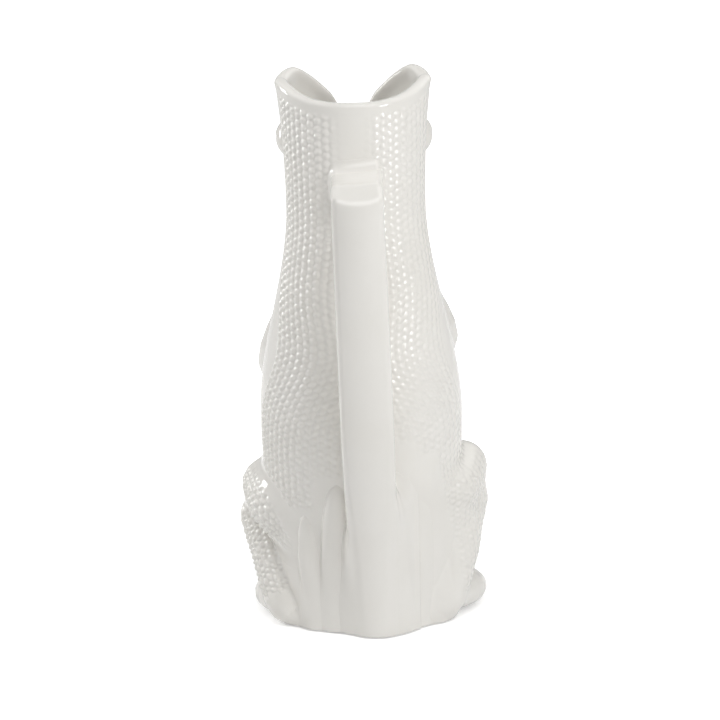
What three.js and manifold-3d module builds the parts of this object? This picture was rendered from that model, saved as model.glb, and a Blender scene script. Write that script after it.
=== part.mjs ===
// A white glazed pitcher in the form of a sitting frog. The hollow body is the frog's trunk,
// neck and wide open mouth, and the mouth's front notch is the pouring lip. The limbs, eyes,
// reed leaves and the stem handle are separate pieces of clay luted onto the body.
// Millimetres, +Z up. The frog faces +Y, the handle is on the -Y side.
import * as THREE from "three";
import { mergeVertices } from "three/addons/utils/BufferGeometryUtils.js";
import Module from "manifold-3d";

const wasm = await Module();
wasm.setup();

// Driving dimensions of the body
const HEIGHT = 298.6; // to the two lobes of the mouth
const WALL = 5;
const FLOOR = 8; // height of the inside floor above the table
const FLOOR_CORNER = 14; // radius between the inside wall and the floor
const BASE_EDGE = 3; // radius round the foot
const FOOT_RING = 9; // width of the flat ring that the pitcher stands on
const RECESS = 2.5; // depth of the hollow inside that ring
const BELLY_HEIGHT = 112; // where the belly is widest
const NECK_DROP = 70.6; // the slimmest part of the neck, below the lobes

// Half widths across X, then half depths towards the handle and towards the face
const BASE_SIDE = 50;
const BELLY_SIDE = 55;
const NECK_SIDE = 37.2;
const MOUTH_SIDE = 42;
const BASE_BACK = 44;
const BELLY_BACK = 49;
const NECK_BACK = 35.5;
const MOUTH_BACK = 34;
const BASE_FACE = 46;
const BELLY_FACE = 54;
const NECK_FACE = 39;
const MOUTH_FACE = 41;

// Plan shape: 2 is an ellipse, and a lower power draws the sides out to pointed corners
const BASE_POWER = 2.4;
const BODY_POWER = 2;
const MOUTH_POWER = 1.35;

// The rim is highest at a lobe beside each corner of the mouth. It dips between them, and a
// notch in front makes the pouring lip
const LOBE_SIDE = 35; // half the distance between the lobes' tops
const CORNER_DROP = 3.6; // from a lobe's top to the mouth's corner
const BACK_DIP = 10; // from the corners to the rim over the handle
const FACE_DIP = 31.5; // from the lobes to where their slopes would meet in front
const FACE_POWER = 1.25; // the higher, the rounder those slopes
const NOTCH_ROUND = 6; // radius that rounds off their meeting
const NOTCH_DEPTH = 6; // the last steep drop into the notch
const NOTCH_HALF_WIDTH = 9.7;
const SPOUT_REACH = 6; // how far the lip stands forward at the notch
const SPOUT_HALF_WIDTH = 13;
const SPOUT_HEIGHT = 40; // height over which the wall leans out to that lip

// Gaps at the luted seams, and the clearance of what hangs beside the foot ring
const SEAM = 0.3;
const LIFT = 0.8;

// Handle: a stem that leaves the neck, bends and runs down into the leaves
const HANDLE_WIDTH = 26.5; // at the bend
const STEM_WIDTH = 27.8; // where the stem starts to lean in
const HANDLE_THICKNESS = 16;
const HANDLE_POWER = 3.2; // a squarish section with round corners
const HANDLE_DROP = 56.6; // its middle where it leaves the neck, below the lobes
const HANDLE_SAG = 3; // how much the top falls before it bends
const HANDLE_REACH = 76; // its middle, behind the body's axis, at the bend
const HANDLE_BEND = 10; // radius of the bend
const HANDLE_KNUCKLE = 2.2; // how far the outside of the bend is filled out
const HANDLE_FLARE = 2.5; // extra half width where it joins the neck
const STEM_HEIGHT = 118; // where the stem starts to lean in to the body
const STEM_REACH = 69;
const STEM_BOW = 2; // how far it bows out between the bend and there
const STEM_FOOT_REACH = 43;
const STEM_FOOT_WIDTH = 24;
const HANDLE_TOP_SHIFT = 0.5; // it stands a little off centre, as luted by hand
const HANDLE_FOOT_SHIFT = 5;

// Eyes
const EYE_RADIUS = 11;
const EYE_DROP = 39.6;
const EYE_ANGLE = 34; // from the side towards the face, in degrees
const EYE_SINK = 0.5;
const EYE_LID = 0.8; // how far the lid stands over the eyeball
const LID_RAISE = 1.6; // from the eyeball's middle up to the lid's
const LID_EDGE = 3.85; // from the eyeball's middle up to the lid's edge

// Each limb joint is an angle from the side towards the face, a height and a stand-off
// from the body, and the limb's radius there
const SHOULDER = { angle: 40, height: 181, out: -5, radius: 9.5 };
const ELBOW = { angle: 27, height: 148, out: -1.5, radius: 10.5 };
const WRIST = { angle: 58, height: 122, out: 3, radius: 6.5 };
const PALM = { angle: 66, height: 114, out: 3.5, radius: 7 };
const FINGER_LENGTH = 20;
const FINGER_RADIUS = 2.7;
const FINGER_TIP = 3.4;
const FINGER_FAN = [-48, -16, 16, 48]; // degrees from straight down
const DIGIT_ROOT = 1.4; // how many times thicker a finger or toe is at its root
const DIGIT_WAIST = 0.6; // share of its length where it is slimmest
const HIP = { angle: -37, height: 50, out: -6, radius: 10 };
const THIGH = { angle: -14, height: 67, out: -3, radius: 14 };
const KNEE = { angle: 10, height: 77, out: 1.5, radius: 14.5 };
const SHIN_TOP = { angle: 12, height: 58, out: 4.3, radius: 13.5 };
const CALF = { angle: -10, height: 37, out: -0.5, radius: 12 };
const HEEL = { angle: -27, height: 12, out: -1, radius: 10.5 };
const INSTEP = { angle: 5, height: 9.5, out: 8.5, radius: 8.6 };
const FOOT_BALL = { angle: 41, height: 8, out: 7, radius: 7.5 };
const TOE_LENGTH = 21;
const TOE_RADIUS = 3.6;
const TOE_TIP = 4.6;
const TOE_FAN = [-30, -8, 14, 36]; // degrees from straight ahead, outwards first
const LEFT_ARM_DROP = 12; // the left limbs sit lower, as the frog leans to one side
const LEFT_KNEE_DROP = 7;
const LEFT_KNEE_TUCK = 1.5; // and that knee and foot lie closer to the body
const LEFT_FOOT_TUCK = 5.5;

// Reed leaves round the foot of the stem: the angle at the foot, the angle and height of
// the tip, and the widest half width
const LEFT_OUTER_LEAF = { foot: -128, tip: -130, height: 67, half: 6 };
const LEFT_INNER_LEAF = { foot: -112, tip: -107, height: 86, half: 8.5 };
const RIGHT_INNER_LEAF = { foot: -65, tip: -68, height: 104, half: 8 };
const RIGHT_OUTER_LEAF = { foot: -51, tip: -53, height: 95, half: 7.5 };
const LEAF_THICKNESS = 3.8; // half thickness at the midrib
const LEAF_ROUNDING = 4; // the higher, the blunter the tip
const LEAF_POINT = 0.1; // share of the section that is left at the tip

// Mesh fineness
const BODY_COLUMNS = 48;
const BODY_BUNCH = 0.15; // draws the columns together at the face and the back
const BODY_ROWS = 18;
const LIP_STEPS = 5;
const CORNER_STEPS = 4;
const LIMB_SIDES = 12;
const LIMB_STEPS = 6;
const CAP_STEPS = 3;
const CAP_FILL = 0.8; // share of its last step that a cap covers before its pole
const BALL_SIDES = 18;
const BALL_RINGS = 12;
const DIGIT_SIDES = 7;
const DIGIT_STEPS = 3;
const LEAF_SIDES = 10;
const LEAF_STEPS = 9;
const HANDLE_SIDES = 20;
const HANDLE_STEPS = 24;
const NEWTON_STEPS = 12; // enough to find a plan radius exactly

const NECK_HEIGHT = HEIGHT - NECK_DROP;
const BEND_MIDDLE = 1 - Math.SQRT1_2; // share of a bend's radius at its middle
const UP = new THREE.Vector3(0, 0, 1);
const radians = THREE.MathUtils.degToRad;
const ease = (t) => t * t * (3 - 2 * t);

// A size of the body at a height: the base swells to the belly, slims to the neck and
// flares to the mouth
function along(z, base, belly, neck, mouth) {
  if (z <= 0) return base;
  if (z < BELLY_HEIGHT) return base + (belly - base) * ease(z / BELLY_HEIGHT);
  if (z < NECK_HEIGHT) {
    return belly + (neck - belly) * ease((z - BELLY_HEIGHT) / (NECK_HEIGHT - BELLY_HEIGHT));
  }
  return neck + (mouth - neck) * ((z - NECK_HEIGHT) / NECK_DROP) ** 2;
}

// Distance from the axis to the outside of the body, without the spout
function planRadius(angle, z) {
  const side = along(z, BASE_SIDE, BELLY_SIDE, NECK_SIDE, MOUTH_SIDE);
  const towardsFace = Math.sin(angle) > 0;
  const depth = towardsFace
    ? along(z, BASE_FACE, BELLY_FACE, NECK_FACE, MOUTH_FACE)
    : along(z, BASE_BACK, BELLY_BACK, NECK_BACK, MOUTH_BACK);
  const power = along(z, BASE_POWER, BODY_POWER, BODY_POWER, MOUTH_POWER);
  const cos = Math.abs(Math.cos(angle)) / side;
  const sin = Math.abs(Math.sin(angle)) / depth;
  // Newton's method on (r cos)^2 + (r sin)^power = 1, which has one root
  let r = Math.min(side, depth);
  for (let i = 0; i < NEWTON_STEPS; i++) {
    const value = (r * cos) ** 2 + (r * sin) ** power - 1;
    const slope = 2 * r * cos ** 2 + power * sin ** power * r ** (power - 1);
    r -= value / slope;
  }
  return r;
}

// Height of the rim over a point at that angle
function rimHeight(angle) {
  const x = Math.abs(planRadius(angle, HEIGHT) * Math.cos(angle));
  const share = Math.min(1, x / MOUTH_SIDE);
  if (Math.sin(angle) <= 0) return HEIGHT - CORNER_DROP - BACK_DIP * (1 - share ** 3);
  const dip = FACE_DIP * Math.max(0, 1 - Math.hypot(x, NOTCH_ROUND) / LOBE_SIDE) ** FACE_POWER;
  const notch = NOTCH_DEPTH * Math.exp(-((x / NOTCH_HALF_WIDTH) ** 4));
  const corner = CORNER_DROP * (Math.max(0, x - LOBE_SIDE) / (MOUTH_SIDE - LOBE_SIDE)) ** 2;
  return HEIGHT - dip - notch - corner;
}

function bodyRadius(angle, z) {
  const r = planRadius(angle, z);
  if (Math.sin(angle) <= 0) return r;
  const top = rimHeight(Math.PI / 2);
  const rise = THREE.MathUtils.clamp((z - top + SPOUT_HEIGHT) / SPOUT_HEIGHT, 0, 1);
  const across = Math.exp(-(((r * Math.cos(angle)) / SPOUT_HALF_WIDTH) ** 2));
  return r + SPOUT_REACH * across * rise ** 2;
}

function polar(angle, r, z) {
  return new THREE.Vector3(r * Math.cos(angle), r * Math.sin(angle), z);
}

// A point over the body's outside, at an angle in degrees
function onBody({ angle, height, out }) {
  const a = radians(angle);
  return polar(a, bodyRadius(a, height) + out, height);
}

// Solids and meshes
function toSolid(geometry) {
  const bare = new THREE.BufferGeometry();
  bare.setAttribute("position", geometry.getAttribute("position"));
  bare.setIndex(geometry.index);
  const merged = mergeVertices(bare);
  const vertProperties = new Float32Array(merged.getAttribute("position").array);
  const triVerts = new Uint32Array(merged.index.array);
  return new wasm.Manifold(new wasm.Mesh({ numProp: 3, vertProperties, triVerts }));
}

function toGeometry(solid) {
  const { vertProperties, triVerts } = solid.getMesh();
  const geometry = new THREE.BufferGeometry();
  geometry.setAttribute("position", new THREE.BufferAttribute(vertProperties, 3));
  geometry.setIndex(new THREE.BufferAttribute(triVerts, 1));
  geometry.computeVertexNormals();
  return geometry;
}

// Closes a stack of rings, counted anticlockwise as seen from the last one, into a solid
function loft(rings, firstCentre, lastCentre) {
  const count = rings[0].length;
  const points = [...rings.flat(), firstCentre, lastCentre];
  const first = points.length - 2;
  const last = points.length - 1;
  const index = [];
  for (let i = 0; i < count; i++) {
    const next = (i + 1) % count;
    index.push(first, next, i);
    for (let row = 0; row + 1 < rings.length; row++) {
      const low = row * count;
      const high = low + count;
      index.push(low + i, low + next, high + next, low + i, high + next, high + i);
    }
    const top = (rings.length - 1) * count;
    index.push(last, top + i, top + next);
  }
  const geometry = new THREE.BufferGeometry().setFromPoints(points);
  geometry.setIndex(index);
  return toSolid(geometry);
}

// A solid through stations, each with a centre, two half axes and a power for its section
function sweep(stations, sides) {
  const bent = (value, power) => Math.sign(value) * Math.abs(value) ** (2 / power);
  const rings = stations.map(({ at, across, out, power = 2 }) =>
    Array.from({ length: sides }, (_, i) => {
      const angle = (2 * Math.PI * i) / sides;
      return at
        .clone()
        .addScaledVector(across, bent(Math.cos(angle), power))
        .addScaledVector(out, bent(Math.sin(angle), power));
    }),
  );
  return loft(rings, stations[0].at, stations.at(-1).at);
}

// A round limb through points with a radius at each, and rounded ends
function limb(points, radii, grow, sides = LIMB_SIDES, steps = LIMB_STEPS) {
  const curve = new THREE.CatmullRomCurve3(points);
  const frames = curve.computeFrenetFrames(steps);
  const radiusAt = (t) => {
    const place = t * (radii.length - 1);
    const low = Math.min(Math.floor(place), radii.length - 2);
    return THREE.MathUtils.lerp(radii[low], radii[low + 1], ease(place - low)) + grow;
  };
  const station = (at, step, r) => ({
    at,
    across: frames.normals[step].clone().multiplyScalar(r),
    out: frames.binormals[step].clone().multiplyScalar(r),
  });
  const cap = (step, direction) => {
    const r = radiusAt(step / steps);
    const end = curve.getPointAt(step / steps);
    return Array.from({ length: CAP_STEPS }, (_, i) => {
      const angle = (Math.PI / 2) * ((i + CAP_FILL) / CAP_STEPS);
      const at = end.clone().addScaledVector(frames.tangents[step], direction * r * Math.sin(angle));
      return station(at, step, r * Math.cos(angle));
    });
  };
  const middle = Array.from({ length: steps + 1 }, (_, i) =>
    station(curve.getPointAt(i / steps), i, radiusAt(i / steps)),
  );
  return sweep([...cap(0, -1).reverse(), ...middle, ...cap(steps, 1)], sides);
}

function ball(at, radius) {
  const geometry = new THREE.SphereGeometry(radius, BALL_SIDES, BALL_RINGS);
  geometry.translate(at.x, at.y, at.z);
  return toSolid(geometry);
}

// Everything above the level that hangs clear of the table
function aboveTable() {
  const size = 3 * HEIGHT;
  const geometry = new THREE.BoxGeometry(size, size, size);
  geometry.translate(0, 0, LIFT + size / 2);
  return toSolid(geometry);
}

const columns = Array.from({ length: BODY_COLUMNS }, (_, i) => {
  const turn = (2 * Math.PI * i) / BODY_COLUMNS;
  return turn + BODY_BUNCH * Math.sin(2 * turn);
});

// The body as a filled form, grown by the seam, which cuts what is luted onto it
function bodyForm(grow) {
  const rows = Array.from({ length: BODY_ROWS + 1 }, (_, i) => i / BODY_ROWS);
  const rings = rows.map((share) =>
    columns.map((angle) => {
      const z = share * rimHeight(angle);
      return polar(angle, bodyRadius(angle, z) + grow, share === 0 ? -grow : z);
    }),
  );
  const top = new THREE.Vector3(0, 0, HEIGHT - CORNER_DROP - BACK_DIP);
  return loft(rings, new THREE.Vector3(0, 0, -grow), top);
}

// The hollow body: one section, from the middle of the recess under the foot, round the
// outside, over the lip and down the inside to the middle of the floor
function bodyShell() {
  const rings = [];
  const addRing = (pointAt) => rings.push(columns.map(pointAt));
  const atFoot = (inset, z) => (angle) => polar(angle, bodyRadius(angle, 0) - inset, z);
  addRing(atFoot(BASE_EDGE + FOOT_RING + RECESS, RECESS));
  addRing(atFoot(BASE_EDGE + FOOT_RING, 0));
  for (let i = 0; i <= CORNER_STEPS; i++) {
    const turn = (Math.PI / 2) * (i / CORNER_STEPS);
    addRing(atFoot(BASE_EDGE * (1 - Math.sin(turn)), BASE_EDGE * (1 - Math.cos(turn))));
  }
  const lip = WALL / 2;
  for (let i = 1; i <= BODY_ROWS; i++) {
    addRing((angle) => {
      const z = THREE.MathUtils.lerp(BASE_EDGE, rimHeight(angle) - lip, i / BODY_ROWS);
      return polar(angle, bodyRadius(angle, z), z);
    });
  }
  for (let i = 1; i <= LIP_STEPS; i++) {
    const turn = Math.PI * (i / LIP_STEPS);
    addRing((angle) => {
      const z = rimHeight(angle) - lip;
      const r = bodyRadius(angle, z) - lip + lip * Math.cos(turn);
      return polar(angle, r, z + lip * Math.sin(turn));
    });
  }
  const cornerTop = FLOOR + FLOOR_CORNER;
  for (let i = 1; i <= BODY_ROWS; i++) {
    addRing((angle) => {
      const z = THREE.MathUtils.lerp(rimHeight(angle) - lip, cornerTop, i / BODY_ROWS);
      return polar(angle, bodyRadius(angle, z) - WALL, z);
    });
  }
  for (let i = 1; i <= CORNER_STEPS; i++) {
    const turn = (Math.PI / 2) * (i / CORNER_STEPS);
    addRing((angle) => {
      const r = bodyRadius(angle, cornerTop) - WALL - FLOOR_CORNER * (1 - Math.cos(turn));
      return polar(angle, r, cornerTop - FLOOR_CORNER * Math.sin(turn));
    });
  }
  return loft(rings, new THREE.Vector3(0, 0, RECESS), new THREE.Vector3(0, 0, FLOOR));
}

// The stem's line in its own plane: out of the neck, round the bend and down to the foot
function handle(grow) {
  const top = HEIGHT - HANDLE_DROP;
  const bendTop = top - HANDLE_SAG;
  const line = [
    [-NECK_BACK + WALL, top],
    [-NECK_BACK - HANDLE_BEND / 2, top - HANDLE_SAG / 3],
    [-HANDLE_REACH + HANDLE_BEND, bendTop],
    [-HANDLE_REACH + HANDLE_BEND * BEND_MIDDLE, bendTop - HANDLE_BEND * BEND_MIDDLE],
    [-HANDLE_REACH, bendTop - HANDLE_BEND],
    [-(HANDLE_REACH + STEM_REACH) / 2 - STEM_BOW, (bendTop + STEM_HEIGHT) / 2],
    [-STEM_REACH, STEM_HEIGHT],
    [-(STEM_REACH + STEM_FOOT_REACH) / 2, STEM_HEIGHT / 2],
    [-STEM_FOOT_REACH, 0],
  ];
  const shiftAt = (z) => THREE.MathUtils.lerp(HANDLE_FOOT_SHIFT, HANDLE_TOP_SHIFT, z / top);
  const widthAt = (z) => {
    const share = THREE.MathUtils.clamp((z - STEM_HEIGHT) / (bendTop - STEM_HEIGHT), 0, 1);
    const upper = THREE.MathUtils.lerp(STEM_WIDTH, HANDLE_WIDTH, share);
    return upper + (STEM_FOOT_WIDTH - STEM_WIDTH) * ease(THREE.MathUtils.clamp(1 - z / STEM_HEIGHT, 0, 1));
  };
  const points = line.map(([y, z]) => new THREE.Vector3(shiftAt(z), y, z));
  const curve = new THREE.CatmullRomCurve3(points);
  const steps = HANDLE_STEPS;
  const stations = Array.from({ length: steps + 1 }, (_, i) => {
    const t = i / steps;
    const at = curve.getPoint(t);
    const nearNeck = THREE.MathUtils.clamp(1 + (at.y + NECK_BACK) / HANDLE_BEND, 0, 1);
    const flare = HANDLE_FLARE * nearNeck ** 2;
    const out = curve.getTangent(t).cross(new THREE.Vector3(1, 0, 0)).normalize();
    // The section leans half way between level and upright in the middle of the bend
    const knuckle = HANDLE_KNUCKLE * Math.max(0, -2 * out.y * out.z) ** 2;
    return {
      at: at.addScaledVector(out, knuckle),
      across: new THREE.Vector3(widthAt(at.z) / 2 + flare + grow, 0, 0),
      out: out.multiplyScalar(HANDLE_THICKNESS / 2 + knuckle + flare + grow),
      power: HANDLE_POWER,
    };
  });
  return sweep(stations, HANDLE_SIDES);
}

// A joint of a left limb is the mirror image of the right one's, and lower
function joint(place, side, drop = 0) {
  const point = onBody({ ...place, height: place.height - drop });
  point.x *= side;
  return point;
}

function jointedLimb(places, side, drops, grow) {
  const points = places.map((place, i) => joint(place, side, drops[i]));
  return limb(points, places.map(({ radius }) => radius), grow);
}

function onLeft(side, amount) {
  return side < 0 ? amount : 0;
}

function tucked(place, side, amount) {
  return { ...place, out: place.out - onLeft(side, amount) };
}

function eye(side) {
  const at = joint({ angle: EYE_ANGLE, height: HEIGHT - EYE_DROP, out: -EYE_SINK }, side);
  const lid = ball(at.clone().addScaledVector(UP, LID_RAISE), EYE_RADIUS + EYE_LID);
  // A roomy box keeps what is above the lid's edge
  const room = 4 * EYE_RADIUS;
  const above = new THREE.BoxGeometry(2 * room, 2 * room, room);
  above.translate(at.x, at.y, at.z + LID_EDGE + room / 2);
  return ball(at, EYE_RADIUS).add(lid.intersect(toSolid(above)));
}

function foreleg(side, grow) {
  const drop = onLeft(side, LEFT_ARM_DROP);
  return jointedLimb([SHOULDER, ELBOW, WRIST], side, [drop / 2, drop, drop], grow);
}

// Digits fan out from a palm or foot over the surface that it lies on
function digits(root, ahead, aside, fan, length, radius, tip, lift) {
  return fan.map((degrees) => {
    const direction = ahead
      .clone()
      .multiplyScalar(Math.cos(radians(degrees)))
      .addScaledVector(aside, Math.sin(radians(degrees)));
    const at = (share) => lift(root.clone().addScaledVector(direction, length * share));
    const radii = [radius * DIGIT_ROOT, radius, tip];
    return limb([root.clone(), at(DIGIT_WAIST), at(1)], radii, 0, DIGIT_SIDES, DIGIT_STEPS);
  });
}

function hand(side) {
  const drop = onLeft(side, LEFT_ARM_DROP);
  const palm = joint(PALM, side, drop);
  const wrist = joint(WRIST, side, drop);
  const around = new THREE.Vector3(-palm.y, palm.x, 0).normalize();
  const down = UP.clone().negate();
  // A finger's middle lies half its radius over the belly
  const lift = (point) => {
    const angle = Math.atan2(point.y, point.x);
    const folded = Math.atan2(Math.sin(angle), Math.abs(Math.cos(angle)));
    return polar(angle, bodyRadius(folded, point.z) + FINGER_RADIUS / 2, point.z);
  };
  const fingers = digits(palm, down, around, FINGER_FAN, FINGER_LENGTH, FINGER_RADIUS, FINGER_TIP, lift);
  const back = limb([wrist, palm], [WRIST.radius, PALM.radius], 0, LIMB_SIDES, DIGIT_STEPS);
  return fingers.reduce((whole, finger) => whole.add(finger), back);
}

function thigh(side, grow) {
  const drop = onLeft(side, LEFT_KNEE_DROP);
  return jointedLimb([HIP, THIGH, tucked(KNEE, side, LEFT_KNEE_TUCK)], side, [0, drop / 2, drop], grow);
}

function shin(side, grow) {
  const drop = onLeft(side, LEFT_KNEE_DROP);
  return jointedLimb([SHIN_TOP, CALF, HEEL], side, [drop, drop / 2, 0], grow);
}

function hindFoot(side, grow) {
  const front = tucked(FOOT_BALL, side, LEFT_FOOT_TUCK);
  const arch = tucked(INSTEP, side, LEFT_FOOT_TUCK);
  const sole = jointedLimb([HEEL, arch, front], side, [0, 0, 0], grow);
  const root = joint(front, side);
  const ahead = new THREE.Vector3(0, 1, 0);
  const aside = new THREE.Vector3(-side, 0, 0);
  const lift = (point) => point.setZ(TOE_TIP + LIFT);
  const toes = digits(root, ahead, aside, TOE_FAN, TOE_LENGTH, TOE_RADIUS, TOE_TIP, lift);
  return toes.reduce((whole, toe) => whole.add(toe), sole);
}

// A blade that lies on the body: broad at the foot, drawn to a point at the tip
function leaf({ foot, tip, height, half }, grow) {
  const steps = LEAF_STEPS;
  const stations = Array.from({ length: steps + 1 }, (_, i) => {
    const t = i / steps;
    const angle = THREE.MathUtils.lerp(foot, tip, t);
    const a = radians(angle);
    const at = onBody({ angle, height: height * t, out: 0 });
    const taper = Math.max(LEAF_POINT, Math.sqrt(1 - t ** LEAF_ROUNDING));
    return {
      at,
      across: new THREE.Vector3(Math.sin(a), -Math.cos(a), 0).multiplyScalar(half * taper + grow),
      out: new THREE.Vector3(Math.cos(a), Math.sin(a), 0).multiplyScalar(LEAF_THICKNESS * taper + grow),
    };
  });
  return sweep(stations, LEAF_SIDES);
}

// Assembly: each piece is cut back by a seam from the ones that it is luted onto
const assembly = new THREE.Group();

function glaze() {
  return new THREE.MeshStandardMaterial({ color: 0xe6e3dc, roughness: 0.12, metalness: 0 });
}

function addPiece(name, solid) {
  const mesh = new THREE.Mesh(toGeometry(solid), glaze());
  mesh.name = name;
  assembly.add(mesh);
}

// Keeps the one main body of a cut piece, without the crumbs that a cut can leave inside
function mainPiece(solid) {
  const pieces = solid.decompose();
  return pieces.reduce((largest, next) => (next.volume() > largest.volume() ? next : largest));
}

const grownBody = bodyForm(SEAM);
const clearOfTable = aboveTable();
function lute(solid, onto = []) {
  const seated = onto.reduce((left, other) => left.subtract(other), solid.subtract(grownBody));
  return mainPiece(seated.intersect(clearOfTable));
}

addPiece("body_shell", bodyShell());
addPiece("handle", lute(handle(0)));

const grownHandle = handle(SEAM);
const legCuts = [];
for (const [word, side] of [["right", 1], ["left", -1]]) {
  const grownThigh = thigh(side, SEAM);
  const grownShin = shin(side, SEAM);
  const grownForeleg = foreleg(side, SEAM);
  addPiece(`${word}_eye`, lute(eye(side)));
  addPiece(`${word}_foreleg`, lute(foreleg(side, 0)));
  addPiece(`${word}_hand`, lute(hand(side), [grownForeleg, grownThigh]));
  addPiece(`${word}_thigh`, lute(thigh(side, 0), [grownHandle]));
  addPiece(`${word}_shin`, lute(shin(side, 0), [grownThigh]));
  addPiece(`${word}_hind_foot`, lute(hindFoot(side, 0), [grownThigh, grownShin]));
  legCuts.push(grownThigh, grownShin, hindFoot(side, SEAM));
}

const leafCuts = [grownHandle, ...legCuts];
function addLeaf(name, blade) {
  addPiece(name, lute(leaf(blade, 0), leafCuts));
  leafCuts.push(leaf(blade, SEAM));
}
addLeaf("left_outer_leaf", LEFT_OUTER_LEAF);
addLeaf("left_inner_leaf", LEFT_INNER_LEAF);
addLeaf("right_inner_leaf", RIGHT_INNER_LEAF);
addLeaf("right_outer_leaf", RIGHT_OUTER_LEAF);

// The origin is on the table, under the middle of the whole pitcher
const box = new THREE.Box3().setFromObject(assembly);
const middle = box.getCenter(new THREE.Vector3());
assembly.position.set(-middle.x, -middle.y, -box.min.z);

const pitcher = new THREE.Group();
pitcher.add(assembly);
export default pitcher;
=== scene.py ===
# Looks of the frog pitcher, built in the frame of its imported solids. The body is one fine
# grid of columns and rows with raised beads. Limbs, eyes, leaves and handle are distance
# fields that run into the body with soft fillets, as glazed clay does, each meshed alone.
import math

import bmesh
import bpy
import numpy as np
import openvdb
from mathutils import Matrix, Vector


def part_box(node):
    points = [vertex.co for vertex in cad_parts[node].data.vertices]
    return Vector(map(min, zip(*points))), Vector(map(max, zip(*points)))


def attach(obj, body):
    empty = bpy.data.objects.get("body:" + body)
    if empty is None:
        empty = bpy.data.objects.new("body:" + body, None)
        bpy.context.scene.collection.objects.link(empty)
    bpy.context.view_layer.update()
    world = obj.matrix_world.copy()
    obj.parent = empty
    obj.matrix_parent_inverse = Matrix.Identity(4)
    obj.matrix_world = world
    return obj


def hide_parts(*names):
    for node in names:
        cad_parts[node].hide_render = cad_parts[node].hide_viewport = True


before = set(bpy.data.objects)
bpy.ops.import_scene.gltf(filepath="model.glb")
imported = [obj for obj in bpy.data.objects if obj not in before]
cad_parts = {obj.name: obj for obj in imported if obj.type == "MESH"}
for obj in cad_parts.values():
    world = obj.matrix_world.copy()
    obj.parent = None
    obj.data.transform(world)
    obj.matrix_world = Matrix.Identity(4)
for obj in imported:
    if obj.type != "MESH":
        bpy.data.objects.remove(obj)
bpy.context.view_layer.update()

# Sizes in millimetres about the body's own axis. The frog faces +Y, the handle is at -Y.
MM = 0.001
INSET = 0.1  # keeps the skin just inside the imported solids' box
body_low, body_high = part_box("body_shell")
BELLY_BACK = 49.0
AXIS = np.array([(body_low.x + body_high.x) / 2, body_low.y + BELLY_BACK * MM, 0]) / MM
HEIGHT = body_high.z / MM - INSET
BELLY_SIDE = (body_high.x - body_low.x) / 2 / MM - INSET
BELLY_FACE = (body_high.y - body_low.y) / MM - BELLY_BACK - INSET

# Body: wall and foot
WALL = 5.0
FLOOR = 8.0
FLOOR_CORNER = 14.0
BASE_EDGE = 3.0
FOOT_RING = 9.0
RECESS = 2.5
# From the recess down to the table: inset past the foot ring's inner edge, and height
RECESS_CURVE = (
    (RECESS, RECESS),
    (RECESS - 0.8, RECESS - 0.6),
    (0.4, 0.3),
    (-0.6, 0),
    (-FOOT_RING / 2, 0),
)
BELLY_HEIGHT = 112.0
NECK_HEIGHT = 228.0

# Body: half widths, half depths behind and in front, and the power of the plan's curve
BASE_SIDE, NECK_SIDE, MOUTH_SIDE = 50.0, 37.2, 42.0
BASE_BACK, NECK_BACK, MOUTH_BACK = 44.0, 35.5, 34.0
BASE_FACE, NECK_FACE, MOUTH_FACE = 46.0, 39.0, 41.0
BASE_POWER, BODY_POWER, MOUTH_POWER = 2.4, 2.0, 1.35

# Body: rim and pouring lip
LOBE_SIDE = 35.0
CORNER_DROP = 3.6
BACK_DIP = 10.0
FACE_DIP, FACE_POWER = 31.5, 1.25
NOTCH_ROUND, NOTCH_DEPTH, NOTCH_HALF_WIDTH = 6.0, 6.0, 9.7
SPOUT_REACH, SPOUT_HALF_WIDTH, SPOUT_HEIGHT = 6.0, 13.0, 40.0
LIP_BAND = 5.0
LIP_SWELL, LIP_INSIDE = 0.3, 1.6
LIP_INSIDE_BAND = 9.0

# Limb joints: angle from the side towards the face, height, stand-off from the body, radius
SHOULDER = (40, 181, -5, 9.3)
ELBOW = (27, 148, -1.5, 10.3)
WRIST = (58, 122, 3, 6.3)
PALM = (66, 114, 3.5, 6.8)
HIP = (-37, 50, -6, 10)
THIGH = (-14, 67, -3, 13.6)
KNEE = (10, 77, 1.5, 14)
SHIN_TOP = (12, 58, 4.3, 13)
CALF = (-10, 37, -0.5, 11.7)
HEEL = (-27, 12, -1, 10.3)
HEEL_FOOT = (-35, 2, -11, 6)
HIDDEN_HEEL = (-27, 12, -1, 8.5)
INSTEP = (5, 9.5, 8.5, 8.4)
FOOT_BALL = (41, 8, 7, 7.3)
LEFT_ARM_DROP = 12.0
LEFT_KNEE_DROP = 7.0
LEFT_KNEE_TUCK = 1.5
LEFT_FOOT_TUCK = 5.5
FINGER_LENGTH, FINGER_RADIUS, FINGER_TIP = 20.0, 2.7, 3.3
FINGER_FAN = (-48, -16, 16, 48)
TOE_LENGTH, TOE_RADIUS, TOE_TIP = 21.0, 3.6, 4.4
TOE_FAN = (-30, -8, 14, 36)
DIGIT_BEND, DIGIT_ROOT = 0.6, 1.4  # shares of a digit's length and radius at its bend and root
FINGER_STAND = 0.5  # share of its radius by which a finger's middle stands off the body
LIFT = 0.8  # the toes stay this far off the table, every luted piece at least half as far

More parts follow.
